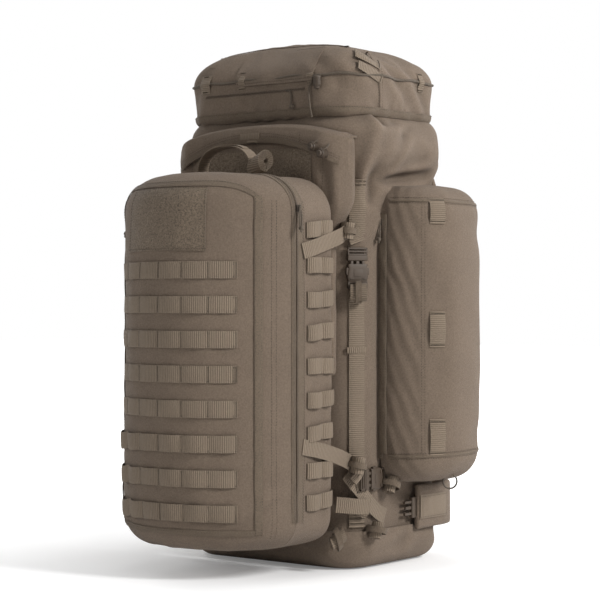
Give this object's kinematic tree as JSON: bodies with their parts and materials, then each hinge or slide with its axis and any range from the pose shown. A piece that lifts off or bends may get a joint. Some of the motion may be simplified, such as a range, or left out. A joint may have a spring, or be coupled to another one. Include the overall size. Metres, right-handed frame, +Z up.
{
  "type": "hunting backpack",
  "caption": "Large rucksack with a hinged lid, a clamshell daypack with webbing rows, side pouches, buckled straps, shoulder harness and hip belt; stands on its flat base.",
  "frame": {"origin": "centre of the flat base under the main bag, on the surface that the pack stands on", "axes": "+Z is up the pack, -Y points out through the daypack, +Y towards the wearer's back, +X to the right as the daypack is looked at"},
  "size_m": [0.54, 0.5916, 0.827],
  "materials": {
    "pack_cloth": "coated 1000-denier nylon cloth, plain weave, matt",
    "webbing": "woven nylon webbing, ribbed, slight sheen",
    "spacer_mesh": "padded open spacer mesh, matt",
    "moulded_buckle": "moulded acetal, fine texture",
    "frame_sheet_plastic": "extruded polyethylene sheet",
    "stay_aluminium": "flat bar, brushed",
    "slider_metal": "die cast zinc, lacquered",
    "shock_cord": "braided nylon sheath"
  },
  "bodies": {
    "bag": {"main_bag": "pack_cloth", "base_boot": "pack_cloth", "front_pocket": "pack_cloth", "frame_sheet": "frame_sheet_plastic", "frame_stay_left": "stay_aluminium", "frame_stay_right": "stay_aluminium", "back_pad_left": "spacer_mesh", "back_pad_right": "spacer_mesh", "lumbar_pad": "spacer_mesh", "side_strap_left": "webbing", "side_strap_right": "webbing", "shoulder_webbing_left": "webbing", "shoulder_webbing_right": "webbing", "daypack_back": "pack_cloth", "carry_handle": "webbing", "pouch_panel_left": "pack_cloth", "pouch_panel_right": "pack_cloth", "upper_buckle_socket_left": "moulded_buckle", "upper_buckle_socket_right": "moulded_buckle", "lower_buckle_socket_left": "moulded_buckle", "lower_buckle_socket_right": "moulded_buckle"},
    "lid": {"lid": "pack_cloth", "lid_cord": "shock_cord", "lid_cord_lock": "moulded_buckle", "lid_cord_tail": "shock_cord"},
    "lid_lock_button": {"lid_cord_lock_button": "moulded_buckle"},
    "lid_slider": {"lid_zip_slider": "slider_metal"},
    "flap": {"pocket_flap": "pack_cloth", "pocket_cord_lock_left": "moulded_buckle", "pocket_cord_lock_right": "moulded_buckle"},
    "pocket_button_left": {"pocket_cord_lock_left_button": "moulded_buckle"},
    "pocket_button_right": {"pocket_cord_lock_right_button": "moulded_buckle"},
    "daypack_panel": {"daypack_front": "pack_cloth", "webbing_row_1": "webbing", "webbing_row_2": "webbing", "webbing_row_3": "webbing", "webbing_row_4": "webbing", "webbing_row_5": "webbing", "webbing_row_6": "webbing", "webbing_row_7": "webbing", "webbing_row_8": "webbing"},
    "daypack_zip_left": {"daypack_slider_left": "slider_metal"},
    "pouch_left": {"side_pouch_left": "pack_cloth"},
    "pouch_zip_left": {"pouch_slider_left": "slider_metal"},
    "harness_left": {"shoulder_strap_left": "spacer_mesh", "ladder_lock_left": "moulded_buckle"},
    "wing_left": {"belt_wing_left": "spacer_mesh", "belt_buckle_socket": "moulded_buckle"},
    "upper_plug_left": {"upper_buckle_plug_left": "moulded_buckle"},
    "lower_plug_left": {"lower_buckle_plug_left": "moulded_buckle"},
    "daypack_zip_right": {"daypack_slider_right": "slider_metal"},
    "pouch_right": {"side_pouch_right": "pack_cloth"},
    "pouch_zip_right": {"pouch_slider_right": "slider_metal"},
    "harness_right": {"shoulder_strap_right": "spacer_mesh", "ladder_lock_right": "moulded_buckle"},
    "wing_right": {"belt_wing_right": "spacer_mesh", "belt_buckle_plug": "moulded_buckle"},
    "upper_plug_right": {"upper_buckle_plug_right": "moulded_buckle"},
    "lower_plug_right": {"lower_buckle_plug_right": "moulded_buckle"}
  },
  "joints": [
    {"name": "lid_hinge", "type": "hinge", "parent": "bag", "child": "lid", "pos_m": [0, 0.125, 0.697], "axis": [-1, 0, 0], "range_deg": [0, 100]},
    {"name": "lid_lock_button_press", "type": "slide", "parent": "lid", "child": "lid_lock_button", "axis": [0, 0, 1], "range_m": [0, 0.003], "stiffness_N_per_m": 400, "springref_m": -0.002},
    {"name": "lid_zip", "type": "slide", "parent": "lid", "child": "lid_slider", "axis": [-1, 0, 0], "range_m": [0, 0.11]},
    {"name": "pocket_flap_hinge", "type": "hinge", "parent": "bag", "child": "flap", "pos_m": [0, -0.1303, 0.68], "axis": [-1, 0, 0], "range_deg": [0, 60]},
    {"name": "pocket_button_left_press", "type": "slide", "parent": "flap", "child": "pocket_button_left", "axis": [0, 1, 0], "range_m": [0, 0.003], "stiffness_N_per_m": 400, "springref_m": -0.002},
    {"name": "pocket_button_right_press", "type": "slide", "parent": "flap", "child": "pocket_button_right", "axis": [0, 1, 0], "range_m": [0, 0.003], "stiffness_N_per_m": 400, "springref_m": -0.002},
    {"name": "daypack_opening", "type": "hinge", "parent": "bag", "child": "daypack_panel", "pos_m": [0, -0.247, 0.045], "axis": [1, 0, 0], "range_deg": [0, 35]},
    {"name": "daypack_zip_left_run", "type": "slide", "parent": "bag", "child": "daypack_zip_left", "axis": [0, 0, -1], "range_m": [0, 0.42]},
    {"name": "pouch_left_opening", "type": "hinge", "parent": "bag", "child": "pouch_left", "pos_m": [-0.1756, 0.135, 0.133], "axis": [0, 0, -1], "range_deg": [0, 50]},
    {"name": "pouch_zip_left_run", "type": "slide", "parent": "bag", "child": "pouch_zip_left", "axis": [0, 0, -1], "range_m": [0, 0.34]},
    {"name": "shoulder_strap_left_swing", "type": "hinge", "parent": "bag", "child": "harness_left", "pos_m": [-0.055, 0.1418, 0.585], "axis": [1, 0, 0], "range_deg": [0, 12]},
    {"name": "belt_wing_left_swing", "type": "hinge", "parent": "bag", "child": "wing_left", "pos_m": [-0.1202, 0.1594, 0.0875], "axis": [0, 0, -1], "range_deg": [0, 75]},
    {"name": "upper_buckle_left_release", "type": "slide", "parent": "bag", "child": "upper_plug_left", "axis": [0, 0, 1], "range_m": [0, 0.022]},
    {"name": "lower_buckle_left_release", "type": "slide", "parent": "bag", "child": "lower_plug_left", "axis": [0, -1, 0], "range_m": [0, 0.022]},
    {"name": "daypack_zip_right_run", "type": "slide", "parent": "bag", "child": "daypack_zip_right", "axis": [0, 0, -1], "range_m": [0, 0.42]},
    {"name": "pouch_right_opening", "type": "hinge", "parent": "bag", "child": "pouch_right", "pos_m": [0.1756, 0.135, 0.133], "axis": [0, 0, 1], "range_deg": [0, 50]},
    {"name": "pouch_zip_right_run", "type": "slide", "parent": "bag", "child": "pouch_zip_right", "axis": [0, 0, -1], "range_m": [0, 0.34]},
    {"name": "shoulder_strap_right_swing", "type": "hinge", "parent": "bag", "child": "harness_right", "pos_m": [0.055, 0.1418, 0.585], "axis": [1, 0, 0], "range_deg": [0, 12]},
    {"name": "belt_wing_right_swing", "type": "hinge", "parent": "bag", "child": "wing_right", "pos_m": [0.1202, 0.1594, 0.0875], "axis": [0, 0, 1], "range_deg": [0, 75]},
    {"name": "upper_buckle_right_release", "type": "slide", "parent": "bag", "child": "upper_plug_right", "axis": [0, 0, 1], "range_m": [0, 0.022]},
    {"name": "lower_buckle_right_release", "type": "slide", "parent": "bag", "child": "lower_plug_right", "axis": [0, -1, 0], "range_m": [0, 0.022]}
  ]
}
